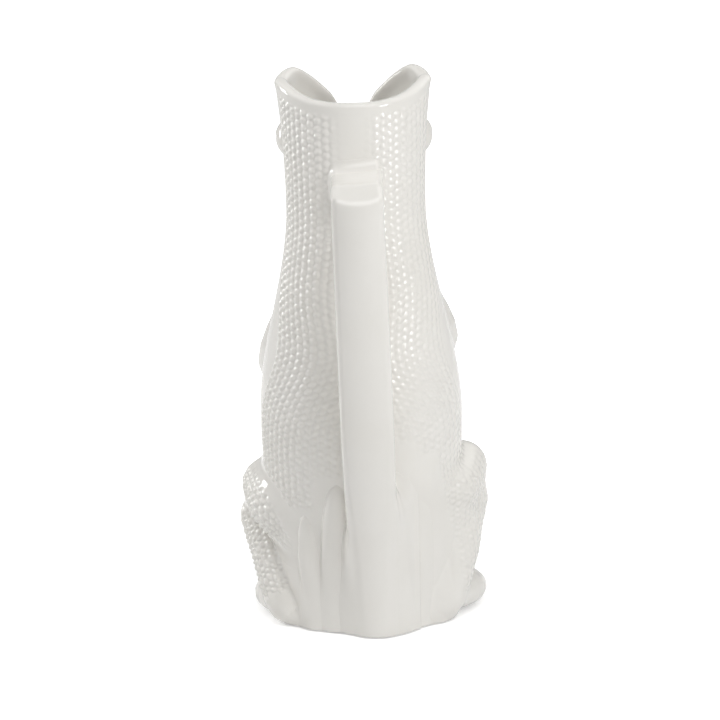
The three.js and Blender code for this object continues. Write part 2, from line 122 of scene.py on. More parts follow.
# Fillets: where limbs run into each other, and onto the body
FLESH_BLEND, FINGER_BLEND, TOE_BLEND = 3.0, 2.0, 2.5
ARM_FILLET, HAND_FILLET, FOOT_FILLET, EYE_FILLET = 7.0, 2.5, 3.0, 2.5
LEFT_HIP_FILLET, RIGHT_HIP_FILLET, RIGHT_FLANK_FILLET = 8.0, 16.0, 4.0
FLANK, FLANK_FADE = 36.0, 14.0  # where the flank starts right of the axis, and over what length
LEFT_KNEE_FILLET, RIGHT_KNEE_FILLET, LEFT_SHIN_FILLET = 8.0, 9.0, 2.0
LEFT_KNEE_LOW, LEFT_KNEE_FADE = 40.0, 30.0  # height at which the left knee's fillet starts to widen
SKIN = 2.5  # how far a luted piece reaches into the body's wall
FILLET_END = 0.9  # the share of a fillet kept, so that it ends before it is paper thin

# Eyes and their lids
EYE_RADIUS = 11.0
EYE_HEIGHT = 259.0
EYE_ANGLE = 34.0
EYE_SINK = 0.5
LID_SHIFT, LID_RAISE = (0, 1, 0.8), 0.4
LID_LINE, LID_FALL = 2.5, 0.3  # the lid's edge above the eye's middle, and its fall forwards
LID_EDGE, LID_BLEND = 0.5, 0.4

# The right leg is one soft mass: its hip is sunk, and flesh fills the crook down to the shin
RIGHT_HIP = (-34, 82, -13, 9)
RIGHT_THIGH = (-11, 71, -3.5, 13.4)
RIGHT_HEEL, RIGHT_HEEL_FOOT = (-27, 12, -2, 10.3), (-33, 2, -10, 6.5)
FLESH = (
    ((-10, 66, -4, 12), (-10, 37, -2, 10.5)),
    ((-17, 70, -6.5, 11.5), (-18, 24, -3.5, 9.5)),
)
RIGHT_LEG_EDGE, RIGHT_LEG_SLANT = 54.5, 0.17  # the beads' inner edge from the axis, and its lean

# Leaves: angle at the foot, angle and height of the tip, widest half width
LEAVES = {
    "left_outer_leaf": (-128, -130, 64, 6),
    "left_inner_leaf": (-112, -107, 83, 8.5),
    "right_inner_leaf": (-65, -68, 102, 8),
    "right_outer_leaf": (-51, -53, 93, 7.5),
}
LEAF_THICKNESS, SOFT_LEAF_THICKNESS = 3.8, 1.4
LEAF_SKEW = 0.3  # how much higher a leaf stands along its left edge
LEAF_FILLET = 1.2
SOFT_SINK = 0.06  # how far a soft leaf's rim lies under the skin
SOFT_TIP = 55.0  # length over which a soft leaf rises from its tip
CRISP_FOOT, CRISP_REACH = 14.0, 30.0  # a crisp leaf starts at this height, over this length
CRISP_POWER, CRISP_POINT = 5, 0.002  # curve of a crisp leaf's tip, and what is left at its end
THIN_FOOT, THIN_HEIGHT = 0.3, 25.0  # share of a crisp leaf's thickness at the foot, and its height
HANDLE_ANGLE = -90  # leaves at smaller angles are left of the handle

# Handle: middle of the stem at heights, behind the axis, and its section
STEM_HEIGHTS = (0, 59, 118, 174, 229)
STEM_REACHES = (-43, -56, -69, -74.5, -76)
HANDLE_THICKNESS = 16.0
HANDLE_TOP, HANDLE_FALL = 250.0, 2.0
HANDLE_ROLL, ROLL_START = 46.0, 0.79
HANDLE_TILT = 0.1
HANDLE_WIDTH, STEM_WIDTH, STEM_FOOT_WIDTH = 26.5, 27.8, 24.0
STEM_HEIGHT = 118.0
HANDLE_TOP_SHIFT, HANDLE_FOOT_SHIFT = 0.5, 5.0
HANDLE_CROWN = 3.2
HANDLE_EDGE, HANDLE_FOOT_EDGE = 3.0, 8.0
BEND_OUTSIDE, BEND_INSIDE = 2.2, 10.0
REACH_LIMIT = 1.3  # how far past the stem's middle the top keeps rolling, in shares of the reach

# Handle: fillets at the stem's foot and at the neck. Pairs are for the left and right sides
STEM_FOOT_FILLETS, STEM_FILLET = (15.0, 24.0), 4.0
STEM_FOOT_HEIGHTS, STEM_FOOT_FADE = (45.0, 70.0), 35.0
NECK_FILLETS, NECK_TOP_FILLET, NECK_FADE = (4.0, 1.2), 7.0, 10.0
NECK_TOP_DEPTH, NECK_TOP_FADE = 6.0, 5.0
NECK_TOP_OVERHANG, NECK_TOP_SIDE_FADE = 1.0, 3.0

# Beads on the skin
BEAD_COLUMN, BEAD_ROW = 4.4, 4.05
LEG_BEAD_COLUMN, LEG_BEAD_ROW = 3.6, 3.4
LEG_BEAD_FRONT = 14.0  # the beads fade out before the front of the knees
LEFT_BEAD_RISE, RIGHT_BEAD_RISE = 1.05, 0.46
FOLD_ANGLE, FOLD_NARROWING = 82.0, 16.0
FOLD_WAIST, FOLD_WAIST_REACH = 155.0, 28.0
NAPE_MIDDLE, NAPE_HALF = -1.5, 10.5  # the smooth strip of the nape above the handle
NAPE_FADE = 10.0
RISE_SHIFT = 0.9  # the rise changes from this share of the belly's half width left of the axis
BEAD_UNEVEN, BEAD_STRAY = 0.1, 0.05  # spread of a bead's size and place
BEAD_RADIUS, BEAD_DOME = 0.48, 0.9  # share of the pitch, and the power of the dome's curve
LEG_BEAD_LEVEL = 0.8  # share of a leg bead's height that lies under the leg's skin
RIGHT_COLUMNS, LEG_PLACES = 500, 300  # whole pitches that set one field's scatter from another's
SCATTER = (12.9898, 78.233, 43758.5453)  # column, row and scale of the beads' unevenness

# Where the body's beads end, each with the length over which they fade
FOLD_FADE = 4.0
LIP_OVERLAP, LIP_FADE = 2.0, 3.0
PIECE_CLEAR, PIECE_FADE = 2.0, 5.0
HANDLE_CLEAR, HANDLE_FADE = 0.5, 2.0
LOWEST_BEAD, LOWEST_FADE = 55.0, 15.0

# Where the legs' beads end, likewise
LEG_EDGE_FADE = 4.0
LEG_SKIN, LEG_SKIN_FADE = 1.0, 0.7
LEG_LOW_FADE = 10.0
LEG_FRONT_FADE = 8.0
LEG_TOP, LEG_TOP_FADE = 0.85, 0.4  # how far the skin faces up
LEFT_THIGH_LOW, RIGHT_THIGH_LOW, SHIN_LOW = 35.0, 8.0, 4.0

# The raised fold along each side, and where it starts and ends
FOLD_RISE, FOLD_HALF_WIDTH = 0.35, 1.1
FOLD_LOW, FOLD_LOW_FADE = 165.0, 30.0
FOLD_LIP_CLEAR, FOLD_LIP_FADE = 4.0, 14.0

# Camera and studio, with lengths in metres
CAMERA_DISTANCE = 1.4
CAMERA_RISE = math.radians(13)
CAMERA_ROLL = math.radians(1.5)
FOCAL_PIXELS = 2590
FRAME_PIXELS = 720
AIM_HEIGHT = 0.15
AIM_LEFT, AIM_UP = 0.5, 17.3  # pixels from the frame's middle to the aim
FLOOR_SIZE, FLOOR_DROP = 12, 0.0003
MIRRORED_WHITE = 0.5  # the share of the white surroundings that the glaze mirrors
CAMERA_SIDE = (0, -1, 0)
BRIGHT_SIDE = (0.45, -0.89, 0)  # the room is brightest on this side

# Fineness
VOXEL = 0.6
BACK_COLUMNS = 300
FACE_COLUMNS = 120
OUTER_ROWS = 480
INNER_ROWS, INNER_CROWDING = 60, 1.5  # rows inside lie closer together under the lip
BASE_EDGE_STEPS, LIP_STEPS, CORNER_STEPS = 6, 12, 8
UNDERSIDE_RINGS = (0.35, 0.7)
FLOOR_RINGS, FLOOR_SHRINK = 2, 0.6
TABLE_STEPS, TABLE_LOW, TABLE_HIGH = 720, -30, 330
LAST_CELL = 1.001  # keeps a look-up inside the table's last cell
NEWTON_STEPS = 12
LIMB_STEPS, DIGIT_STEPS = 10, 6
MARGIN, RIGHT_THIGH_MARGIN = 12.0, 26.0  # room round a node in which its field is meshed
FAR = 1e9
TINY = 1e-6
NO_LENGTH = 1e-9


def ease(t):
    t = np.clip(t, 0, 1)
    return t * t * (3 - 2 * t)


def mix(a, b, t):
    return a + (b - a) * t


# The body's form
def along(z, base, belly, neck, mouth):
    lower = mix(base, belly, ease(z / BELLY_HEIGHT))
    upper = mix(belly, neck, ease((z - BELLY_HEIGHT) / (NECK_HEIGHT - BELLY_HEIGHT)))
    top = mix(neck, mouth, np.clip((z - NECK_HEIGHT) / (HEIGHT - NECK_HEIGHT), 0, None) ** 2)
    return np.where(z < BELLY_HEIGHT, lower, np.where(z < NECK_HEIGHT, upper, top))


def plan_radius(angle, z):
    side = along(z, BASE_SIDE, BELLY_SIDE, NECK_SIDE, MOUTH_SIDE)
    back = along(z, BASE_BACK, BELLY_BACK, NECK_BACK, MOUTH_BACK)
    face = along(z, BASE_FACE, BELLY_FACE, NECK_FACE, MOUTH_FACE)
    power = along(z, BASE_POWER, BODY_POWER, BODY_POWER, MOUTH_POWER)
    cos = np.abs(np.cos(angle)) / side
    sin = np.abs(np.sin(angle)) / np.where(np.sin(angle) > 0, face, back)
    r = np.minimum(side, np.minimum(back, face))
    # Newton's method on (r cos)^2 + (r sin)^power = 1
    for _ in range(NEWTON_STEPS):
        value = (r * cos) ** 2 + (r * sin) ** power - 1
        slope = 2 * r * cos**2 + power * sin**power * r ** (power - 1)
        r = r - value / slope
    return r


def rim_height(angle):
    x = np.abs(plan_radius(angle, np.full_like(angle, HEIGHT)) * np.cos(angle))
    back = HEIGHT - CORNER_DROP - BACK_DIP * (1 - np.minimum(1, x / MOUTH_SIDE) ** 3)
    slope = np.clip(1 - np.hypot(x, NOTCH_ROUND) / LOBE_SIDE, 0, None)
    notch = NOTCH_DEPTH * np.exp(-((x / NOTCH_HALF_WIDTH) ** 4))
    corner = CORNER_DROP * (np.clip(x - LOBE_SIDE, 0, None) / (MOUTH_SIDE - LOBE_SIDE)) ** 2
    face = HEIGHT - FACE_DIP * slope**FACE_POWER - notch - corner
    return np.where(np.sin(angle) <= 0, back, face)


SPOUT_TOP = rim_height(np.array([math.pi / 2]))[0]


def body_radius(angle, z):
    r = plan_radius(angle, z)
    rise = np.clip((z - SPOUT_TOP + SPOUT_HEIGHT) / SPOUT_HEIGHT, 0, 1)
    across = np.exp(-((r * np.cos(angle) / SPOUT_HALF_WIDTH) ** 2))
    return r + np.where(np.sin(angle) > 0, SPOUT_REACH * across * rise**2, 0)


# The body's radius and how much its wall leans, looked up by half degrees and millimetres
TABLE_ANGLES = np.linspace(-np.pi, np.pi, TABLE_STEPS + 1)
TABLE_HEIGHTS = np.arange(TABLE_LOW, TABLE_HIGH + 1.0)
RADIUS_TABLE = body_radius(*np.meshgrid(TABLE_ANGLES, TABLE_HEIGHTS))
LEAN_TABLE = 1 / np.sqrt(
    1
    + np.gradient(RADIUS_TABLE, TABLE_HEIGHTS, axis=0) ** 2
    + (np.gradient(RADIUS_TABLE, TABLE_ANGLES, axis=1) / RADIUS_TABLE) ** 2
)


def body_distance(p):
    row = np.clip(p[:, 2] - TABLE_HEIGHTS[0], 0, len(TABLE_HEIGHTS) - LAST_CELL)
    angle = np.arctan2(p[:, 1], p[:, 0])
    column = (angle + np.pi) / (2 * np.pi) * (len(TABLE_ANGLES) - LAST_CELL)
    i, j = row.astype(int), column.astype(int)
    low = mix(RADIUS_TABLE[i, j], RADIUS_TABLE[i, j + 1], column - j)
    high = mix(RADIUS_TABLE[i + 1, j], RADIUS_TABLE[i + 1, j + 1], column - j)
    return (np.hypot(p[:, 0], p[:, 1]) - mix(low, high, row - i)) * LEAN_TABLE[i, j]


def on_body(angle, height, out):
    a = math.radians(angle)
    r = body_radius(np.array([a]), np.array([float(height)]))[0] + out
    return np.array([r * math.cos(a), r * math.sin(a), height])


# Distance fields
def smooth_min(a, b, reach):
    h = np.clip(reach - np.abs(a - b), 0, None) / reach
    return np.minimum(a, b) - h * h * reach / 4


def rounded_both(a, b, radius):
    """The overlap of two forms, with its edge rounded."""
    outside = np.hypot(np.maximum(a + radius, 0), np.maximum(b + radius, 0))
    return outside + np.minimum(np.maximum(a, b) + radius, 0) - radius


def off_table(p):
    """How far a point lies under the level that keeps limbs and leaves off the table."""
    return LIFT / 2 - p[:, 2]


def fused(own, p, fillet, others=None):
    """A piece's field with a fillet onto the body, cut off where the fillet ends."""
    body = body_distance(p)
    onto = body if others is None else np.minimum(body, others)
    joined = smooth_min(own, onto, fillet)
    cut = np.maximum(own - FILLET_END * fillet, -(body + SKIN))
    return np.maximum(np.maximum(joined, cut), off_table(p))


def curve_through(points, count):
    points = np.asarray(points, float)
    padded = np.vstack([2 * points[0] - points[1], points, 2 * points[-1] - points[-2]])
    spans = len(points) - 1
    samples = []
    for t in np.linspace(0, spans, count):
        i = min(int(t), spans - 1)
        s = t - i
        a, b, c, d = padded[i : i + 4]
        bend = (2 * a - 5 * b + 4 * c - d) * s**2 + (3 * b - a - 3 * c + d) * s**3
        samples.append((2 * b + (c - a) * s + bend) / 2)
    return np.array(samples)


class Tube:
    """A round limb through points, with a radius at each."""

    def __init__(self, points, radii, steps=LIMB_STEPS):
        self.path = curve_through(points, steps + 1)
        place = np.linspace(0, len(radii) - 1, steps + 1)
        low = np.minimum(place.astype(int), len(radii) - 2)
        radii = np.asarray(radii, float)
        self.radii = mix(radii[low], radii[low + 1], ease(place - low))
        self.lengths = np.linalg.norm(np.diff(self.path, axis=0), axis=1)
        self.ends = np.concatenate([[0], np.cumsum(self.lengths)])

    def segments(self, p):
        for i, length in enumerate(self.lengths):
            a, b = self.path[i], self.path[i + 1]
            t = np.clip((p - a) @ (b - a) / length**2, 0, 1)
            d = np.linalg.norm(p - a - t[:, None] * (b - a), axis=1)
            yield d - mix(self.radii[i], self.radii[i + 1], t), self.ends[i] + t * length

    def distance(self, p):
        best = np.full(len(p), FAR)
        for d, _ in self.segments(p):
            best = np.minimum(best, d)
        return best

    def skin_grid(self, p):
        """Places on the limb's skin: round it from its outer side, and along it."""
        best = self.distance(p)
        total, place = np.zeros(len(p)), np.zeros(len(p))
        for d, along_limb in self.segments(p):
            weight = np.exp(best - d)
            total += weight
            place += weight * along_limb
        place /= total
        centre = np.stack([np.interp(place, self.ends, self.path[:, k]) for k in range(3)], 1)
        line = self.path[-1] - self.path[0]
        line /= np.linalg.norm(line)
        out = self.path.mean(0) * [1, 1, 0]
        out -= line * (out @ line)
        out /= np.linalg.norm(out)
        offset = p - centre
        angle = np.arctan2(offset @ np.cross(line, out), offset @ out)
        return angle * self.radii.mean(), place


def joints(places, side, drops, tucks=None):
    tucks = tucks or [0] * len(places)
    points = []
    for (angle, height, out, _), drop, tuck in zip(places, drops, tucks):
        lower = drop if side < 0 else 0
        closer = tuck if side < 0 else 0
        points.append(on_body(angle, height - lower, out - closer) * [side, 1, 1])
    return Tube(points, [place[3] for place in places])


def thigh_tube(side):
    drops = [0, LEFT_KNEE_DROP / 2, LEFT_KNEE_DROP]
    hip, thigh = (HIP, THIGH) if side < 0 else (RIGHT_HIP, RIGHT_THIGH)
    return joints([hip, thigh, KNEE], side, drops, [0, 0, LEFT_KNEE_TUCK])


def shin_tube(side):
    drops = [LEFT_KNEE_DROP, LEFT_KNEE_DROP / 2, 0, 0]
    heel = [HEEL, HEEL_FOOT] if side < 0 else [RIGHT_HEEL, RIGHT_HEEL_FOOT]
    return joints([SHIN_TOP, CALF] + heel, side, drops)


def thigh_tubes(side):
    flesh = [joints(ends, side, [0, 0]) for ends in FLESH] if side > 0 else []
    return [thigh_tube(side)] + flesh


def foreleg_tube(side):
    drops = [LEFT_ARM_DROP / 2, LEFT_ARM_DROP, LEFT_ARM_DROP]
    return joints([SHOULDER, ELBOW, WRIST], side, drops)


def digit_tubes(root, ahead, aside, fan, length, radius, tip, lift):
    tubes = []
    for degrees in fan:
        turn = math.radians(degrees)
        direction = ahead * math.cos(turn) + aside * math.sin(turn)
        bend = lift(root + direction * length * DIGIT_BEND)
        points = [root, bend, lift(root + direction * length)]
        tubes.append(Tube(points, [radius * DIGIT_ROOT, radius, tip], DIGIT_STEPS))
    return tubes


def hand_tubes(side):
    palm = joints([WRIST, PALM], side, [LEFT_ARM_DROP] * 2)
    root = palm.path[-1]
    around = np.array([-root[1], root[0], 0]) / math.hypot(root[0], root[1])

    def lift(point):
        angle = math.degrees(math.atan2(point[1], point[0]))
        return on_body(angle, point[2], FINGER_RADIUS * FINGER_STAND)

    down = np.array([0, 0, -1.0])
    sizes = (FINGER_LENGTH, FINGER_RADIUS, FINGER_TIP)
    return [palm] + digit_tubes(root, down, around, FINGER_FAN, *sizes, lift)


def foot_tubes(side):
    tucks = [0, LEFT_FOOT_TUCK, LEFT_FOOT_TUCK]
    sole = joints([HIDDEN_HEEL, INSTEP, FOOT_BALL], side, [0, 0, 0], tucks)
    ahead = np.array([0, 1.0, 0])
    aside = np.array([-side, 0, 0.0])

    def lift(point):
        return np.array([point[0], point[1], TOE_TIP + LIFT])

    sizes = (TOE_LENGTH, TOE_RADIUS, TOE_TIP)
    return [sole] + digit_tubes(sole.path[-1], ahead, aside, TOE_FAN, *sizes, lift)


def tubes_distance(tubes, p, reach):
    d = tubes[0].distance(p)
    for tube in tubes[1:]:
        d = smooth_min(d, tube.distance(p), reach)
    return d


def eye_distance(side, p):
    """An eyeball, with a lid over its upper front."""
    offset = p - on_body(EYE_ANGLE, EYE_HEIGHT, -EYE_SINK) * [side, 1, 1]
    ball = np.linalg.norm(offset, axis=1) - EYE_RADIUS
    lid = np.linalg.norm(offset - LID_SHIFT, axis=1) - EYE_RADIUS - LID_RAISE
    lid = rounded_both(lid, LID_LINE - offset[:, 2] - LID_FALL * offset[:, 1], LID_EDGE)
    return smooth_min(ball, lid, LID_BLEND)


def leaf_place(leaf, p):
    """Share of a leaf's height, and distance from its middle line towards the right."""
    foot, tip, height, _ = leaf
    t = np.clip(p[:, 2] / height, 0, 1)
    turn = np.arctan2(p[:, 1], p[:, 0]) - np.radians(mix(foot, tip, t))
    return t, np.hypot(p[:, 0], p[:, 1]) * np.sin(turn)


def crisp_leaf(leaf, p):
    """A leaf left of the handle, with a clear edge and its left half higher."""
    _, _, height, half = leaf
    t, across = leaf_place(leaf, p)
    taper = np.sqrt(np.clip(1 - t**CRISP_POWER, CRISP_POINT, 1))
    width = half * taper
    place = np.clip(across / half, -1, 1)
    thinner = mix(THIN_FOOT, 1, ease(p[:, 2] / THIN_HEIGHT))
    thickness = LEAF_THICKNESS * taper * (1 - LEAF_SKEW * place) * thinner
    out = body_distance(p)
    reach = np.hypot(across / width, out / thickness)
    slope = np.hypot(across / width**2, out / thickness**2) / np.maximum(reach, TINY)
    d = np.maximum((reach - 1) / np.maximum(slope, TINY), p[:, 2] - height)
    return fused(d, p, LEAF_FILLET)


def soft_leaf(leaf, p):
    """A leaf right of the handle, a low swelling that sinks into the skin all round."""
    _, _, height, half = leaf
    _, across = leaf_place(leaf, p)
    swelling = np.exp(-((across / half) ** 2)) * ease((height - p[:, 2]) / SOFT_TIP)
    surface = body_distance(p) - (SOFT_LEAF_THICKNESS + SOFT_SINK) * swelling + SOFT_SINK
    inside = -(body_distance(p) + SKIN)
    return np.maximum(np.maximum(surface, inside), off_table(p))


def leaf_field(leaf, p):
    """The leaves left of the handle are crisp, and run into the skin at the foot."""
    soft = soft_leaf(leaf, p)
    if leaf[0] > HANDLE_ANGLE:
        return soft
    return mix(soft, crisp_leaf(leaf, p), ease((p[:, 2] - CRISP_FOOT) / CRISP_REACH))


def soft_leaves(p):
    return np.min([soft_leaf(leaf, p) for leaf in LEAVES.values() if leaf[0] > HANDLE_ANGLE], axis=0)


def beside_leaves(p):
    """Distance along the skin to the nearest leaf."""
    d = np.full(len(p), FAR)
    for leaf in LEAVES.values():
        _, across = leaf_place(leaf, p)
        above = np.maximum(p[:, 2] - leaf[2], 0)
        d = np.minimum(d, np.hypot(np.maximum(np.abs(across) - leaf[3], 0), above))
    return d


STEM_CURVE = np.polyfit(STEM_HEIGHTS, STEM_REACHES, 4)


def handle_distance(p):
    x, y, z = p.T
    stem_z = np.clip(z, 0, STEM_HEIGHTS[-1])
    middle = np.polyval(STEM_CURVE, stem_z)
    lean = 1 / np.hypot(1, np.polyval(np.polyder(STEM_CURVE), stem_z))
    across = x - mix(HANDLE_FOOT_SHIFT, HANDLE_TOP_SHIFT, z / HANDLE_TOP)
    upper = np.clip((z - STEM_HEIGHT) / (HANDLE_TOP - STEM_HEIGHT), 0, 1)
    width = mix(STEM_WIDTH, HANDLE_WIDTH, upper)
    width = width + (STEM_FOOT_WIDTH - STEM_WIDTH) * ease(1 - z / STEM_HEIGHT)
    half = width / 2
    crown = HANDLE_CROWN * np.clip(1 - (across / half) ** 2, 0, 1)
    outer_y = middle - (HANDLE_THICKNESS / 2 - HANDLE_CROWN + crown) / lean
    inner_y = middle + HANDLE_THICKNESS / 2 / lean
    reach = np.clip((-NECK_BACK - y) / (-NECK_BACK - STEM_REACHES[-1]), 0, REACH_LIMIT)
    roll = HANDLE_ROLL * np.clip(reach - ROLL_START, 0, None) ** 2
    tilt = HANDLE_TILT * across * (1 - np.clip(reach, 0, 1))
    top_z = HANDLE_TOP - HANDLE_FALL * reach - roll + tilt
    outside = rounded_both((outer_y - y) * lean, z - top_z, BEND_OUTSIDE)
    inside = rounded_both((inner_y - y) * lean, z - (HANDLE_TOP - HANDLE_THICKNESS), BEND_INSIDE)
    profile = np.maximum(np.maximum(outside, -inside), y)
    edge = mix(HANDLE_FOOT_EDGE, HANDLE_EDGE, ease(z / STEM_HEIGHT))
    return rounded_both(profile, np.abs(across) - half, edge)


# Meshes
def add_object(name, points, faces, node):
    mesh = bpy.data.meshes.new(name)
    mesh.vertices.add(len(points))
    mesh.vertices.foreach_set("co", ((points + AXIS) * MM).astype(np.float32).ravel())
    mesh.loops.add(faces.size)
    mesh.loops.foreach_set("vertex_index", faces.astype(np.int32).ravel())
    mesh.polygons.add(len(faces))
    starts = np.arange(0, faces.size, faces.shape[1], dtype=np.int32)
    mesh.polygons.foreach_set("loop_start", starts)
    mesh.polygons.foreach_set("use_smooth", np.ones(len(faces), bool))
    mesh.update(calc_edges=True)
    mesh.validate()
    mesh.materials.append(glaze)
    piece = bpy.data.objects.new(name, mesh)
    bpy.context.scene.collection.objects.link(piece)
    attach(piece, "root")
    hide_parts(node)
    return piece


def vertex_normals(points, faces):
    normals = np.zeros_like(points)
    a, b, c, d = (points[faces[:, k]] for k in range(4))
    face_normals = np.cross(c - a, d - b)
    for k in range(4):
        np.add.at(normals, faces[:, k], face_normals)
    return normals / np.maximum(np.linalg.norm(normals, axis=1), NO_LENGTH)[:, None]


def mesh_field(node, field, margin=MARGIN):
    """Points and quads of the zero level of a field, in a block round the node."""
    low, high = (np.array(corner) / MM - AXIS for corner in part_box(node))
    low, high = low - margin, high + margin
    counts = np.ceil((high - low) / VOXEL).astype(int) + 1
    axes = [low[k] + VOXEL * np.arange(counts[k]) for k in range(3)]
    block = np.stack(np.meshgrid(*axes, indexing="ij"), -1).reshape(-1, 3)
    values = field(block).reshape(counts).astype(np.float32)
    grid = openvdb.FloatGrid(float(margin))
    grid.copyFromArray(np.clip(values, -margin, margin))
    points, faces = grid.convertToQuads(0.0)
    return points.astype(float) * VOXEL + low, faces.astype(int)


# Beads
def scatter(column, row, seed):
    """An even spread of shares from -0.5 to 0.5, fixed for each bead and seed."""
    by_column, by_row, scale = SCATTER
    return np.sin(column * by_column + row * by_row + seed) * scale % 1 - 0.5


def bead_rise(u, v, column_pitch, row_pitch):
    """Height of staggered, slightly uneven beads, from 0 to about 1."""
    column = np.floor(u / column_pitch)
    shifted = v + 0.5 * row_pitch * (column % 2)
    row = np.floor(shifted / row_pitch)
    size = 1 + BEAD_UNEVEN * scatter(column, row, 0)
    du = u / column_pitch - column - 0.5 - BEAD_STRAY * scatter(column, row, 1)
    dv = shifted / row_pitch - row - 0.5 - BEAD_STRAY * scatter(column, row, 2)
    far = (du * du + dv * dv) / (BEAD_RADIUS * size) ** 2
    return size * np.clip(1 - far, 0, 1) ** BEAD_DOME


def keep_clear(p):
    """Distance from a point on the skin to the nearest piece luted onto it, except the handle."""
    d = beside_leaves(p)
    for side in (1, -1):
        for tube in thigh_tubes(side) + [shin_tube(side), foreleg_tube(side)]:
            d = np.minimum(d, tube.distance(p))
        d = np.minimum(d, eye_distance(side, p))
    return d


def skin_relief(outer, angles, rim):
    """Heights of beads and side folds over the outside grid of the body."""
    step = np.linalg.norm(np.roll(outer, -1, 1) - outer, axis=2)
    arc = np.cumsum(step, 1) - step
    waist = np.exp(-(((outer[:, 0, 2] - FOLD_WAIST) / FOLD_WAIST_REACH) ** 2))
    fold = np.radians(FOLD_ANGLE - FOLD_NARROWING * waist)
    back = 1.5 * math.pi
    left_fold = [np.interp(back - turn, angles, row) for turn, row in zip(fold, arc)]
    right_fold = [np.interp(back + turn, angles, row) for turn, row in zip(fold, arc)]
    from_left = arc - np.array(left_fold)[:, None]
    from_right = np.array(right_fold)[:, None] - arc
    inside = np.minimum(from_left, from_right)
    u = np.where(from_left < from_right, from_left, from_right + RIGHT_COLUMNS * BEAD_COLUMN)
    x, z = outer[..., 0], outer[..., 2]
    below_lip = rim - WALL / 2 - LIP_BAND - z
    beads = bead_rise(u, z, BEAD_COLUMN, BEAD_ROW)
    clear = keep_clear(outer.reshape(-1, 3)).reshape(z.shape)
    from_handle = handle_distance(outer.reshape(-1, 3)).reshape(z.shape)
    mask = ease(inside / FOLD_FADE) * ease((below_lip + LIP_OVERLAP) / LIP_FADE)
    mask *= ease((clear - PIECE_CLEAR) / PIECE_FADE)
    mask *= ease((from_handle - HANDLE_CLEAR) / HANDLE_FADE)
    mask *= ease((z - LOWEST_BEAD) / LOWEST_FADE)
    strip = np.exp(-(((x - NAPE_MIDDLE) / NAPE_HALF) ** 4))
    smooth_nape = strip * ease((z - NECK_HEIGHT) / NAPE_FADE)
    ridge = np.exp(-((inside / FOLD_HALF_WIDTH) ** 2)) * ease((z - FOLD_LOW) / FOLD_LOW_FADE)
    ridge *= ease((below_lip - FOLD_LIP_CLEAR) / FOLD_LIP_FADE)
    rise = mix(LEFT_BEAD_RISE, RIGHT_BEAD_RISE, ease(x / BELLY_SIDE + RISE_SHIFT))
    return rise * beads * mask * (1 - smooth_nape) + FOLD_RISE * ridge


def body_rings(angles, rim):
    """Rings from the recess under the foot, up the outside, over the lip and down inside."""
    rings = []

    def add_ring(inset, z, radius_at=None):
        z = np.broadcast_to(z, angles.shape).astype(float)
        r = body_radius(angles, z if radius_at is None else np.full_like(z, radius_at)) - inset
        rings.append(np.stack([r * np.cos(angles), r * np.sin(angles), z], 1))

    foot = BASE_EDGE + FOOT_RING
    for share in UNDERSIDE_RINGS:
        add_ring(0, RECESS, 0)
        rings[-1][:, :2] *= share
    for inset, z in RECESS_CURVE:
        add_ring(foot + inset, z, 0)
    for turn in np.linspace(0, math.pi / 2, BASE_EDGE_STEPS + 1):
        add_ring(BASE_EDGE * (1 - math.sin(turn)), BASE_EDGE * (1 - math.cos(turn)), 0)
    first_outer = len(rings) - 1
    shoulder = rim - WALL / 2
    for i in range(1, OUTER_ROWS + 1):
        z = mix(BASE_EDGE, shoulder, i / OUTER_ROWS)
        add_ring(-LIP_SWELL * ease((z - shoulder + LIP_BAND) / LIP_BAND), z)
    last_outer = len(rings) - 1
    half = (WALL + LIP_SWELL + LIP_INSIDE) / 2
    for turn in np.linspace(0, math.pi, LIP_STEPS + 1)[1:]:
        add_ring(half - LIP_SWELL - half * math.cos(turn), shoulder)
        rings[-1][:, 2] += WALL / 2 * math.sin(turn)
    corner_top = FLOOR + FLOOR_CORNER
    for i in range(1, INNER_ROWS + 1):
        z = mix(shoulder, corner_top, (i / INNER_ROWS) ** INNER_CROWDING)
        add_ring(WALL + LIP_INSIDE * ease(1 - (shoulder - z) / LIP_INSIDE_BAND), z)
    for turn in np.linspace(0, math.pi / 2, CORNER_STEPS + 1)[1:]:
        drop = FLOOR_CORNER * math.sin(turn)
        add_ring(WALL + FLOOR_CORNER * (1 - math.cos(turn)), corner_top - drop, corner_top)
    for _ in range(FLOOR_RINGS):
        rings.append(rings[-1] * [FLOOR_SHRINK, FLOOR_SHRINK, 1])
    return np.array(rings), first_outer, last_outer


def make_body():
    face = np.linspace(0, np.pi, FACE_COLUMNS, endpoint=False)
    back = np.linspace(np.pi, 2 * np.pi, BACK_COLUMNS, endpoint=False)
    angles = np.concatenate([face, back])
    rim = rim_height(angles)
    grid, first, last = body_rings(angles, rim)
    outer = grid[first : last + 1]
    normal = np.cross(np.roll(outer, -1, 1) - np.roll(outer, 1, 1), np.gradient(outer, axis=0))
    normal /= np.linalg.norm(normal, axis=2)[..., None]
    grid[first : last + 1] += normal * skin_relief(outer, angles, rim)[..., None]

    rows, columns = grid.shape[:2]
    points = np.vstack([grid.reshape(-1, 3), [0, 0, RECESS], [0, 0, FLOOR]])
    i = np.arange(rows - 1)[:, None] * columns
    j = np.arange(columns)[None]
    k = (j + 1) % columns
    quads = np.stack([i + j, i + k, i + columns + k, i + columns + j], -1).reshape(-1, 4)
    piece = add_object("frog_body", points, quads, "body_shell")
    close_middle(piece, columns, rows)


